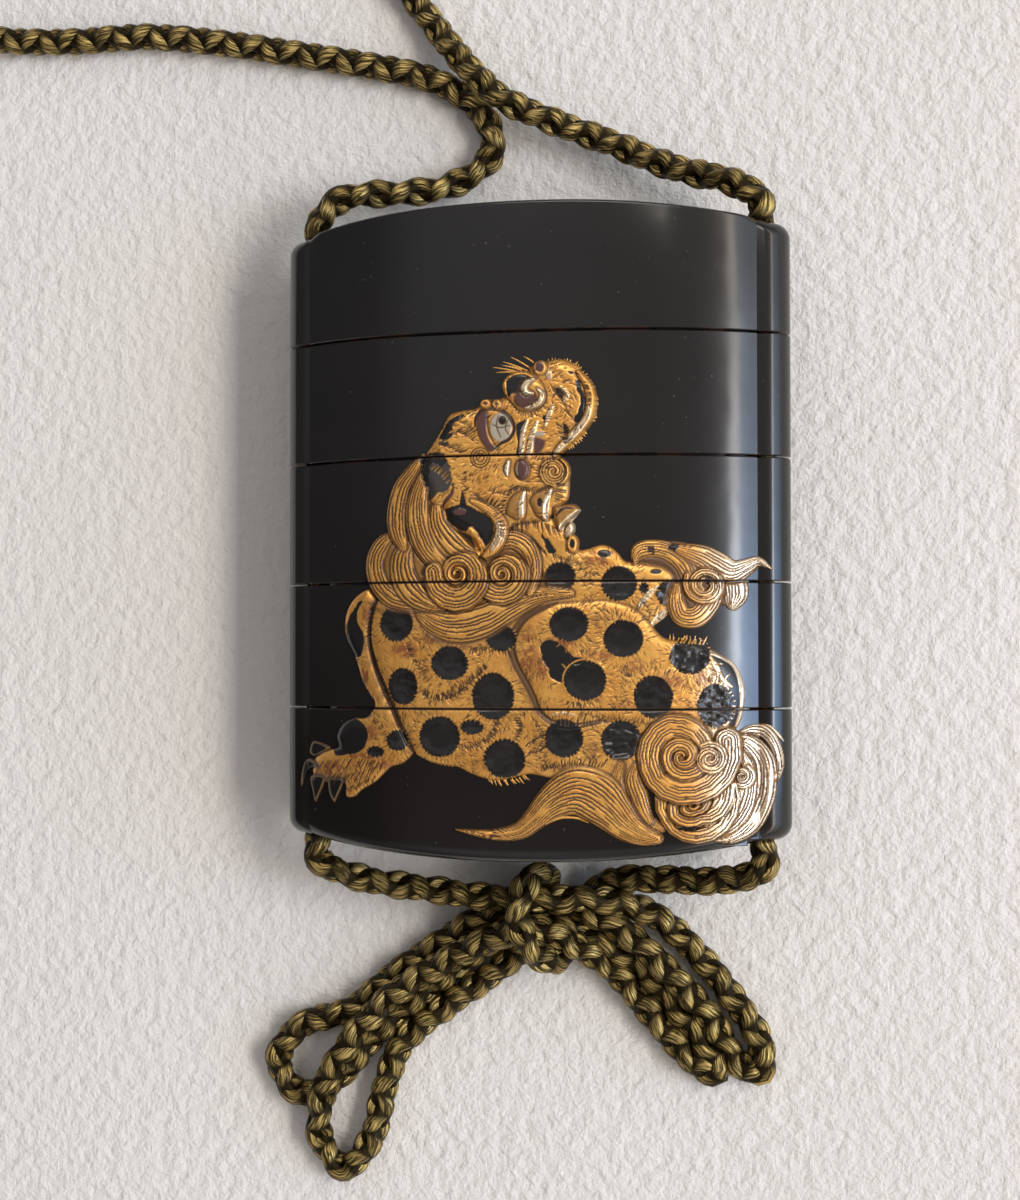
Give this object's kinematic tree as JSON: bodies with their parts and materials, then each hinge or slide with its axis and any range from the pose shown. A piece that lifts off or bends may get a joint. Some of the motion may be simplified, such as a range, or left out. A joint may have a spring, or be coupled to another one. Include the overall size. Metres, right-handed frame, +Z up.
{
  "type": "inro case",
  "caption": "Small flat stacking lacquer case with a lion in raised gold on its face and a braided cord tied in a bow below.",
  "frame": {"origin": "middle of the flat spot on the back, on the surface that the case lies on", "axes": "+X across the case to the figure's tail, +Y from the base to the lid, +Z up through the decorated face"},
  "size_m": [0.1143, 0.1868, 0.0211],
  "materials": {
    "lacquer": "polished black lacquer on thin wood",
    "gold_lacquer": "raised gold powder lacquer, engraved and worn",
    "silk": "round braided silk, dark olive bronze"
  },
  "bodies": {
    "root": {"lid": "lacquer", "case_1": "lacquer", "case_2": "lacquer", "case_3": "lacquer", "base": "lacquer", "cord_top_left": "silk", "cord_top_right": "silk", "cord_top_coil": "silk", "cord_bow": "silk", "cord_run_left": "silk", "cord_run_right": "silk"}
  },
  "joints": []
}
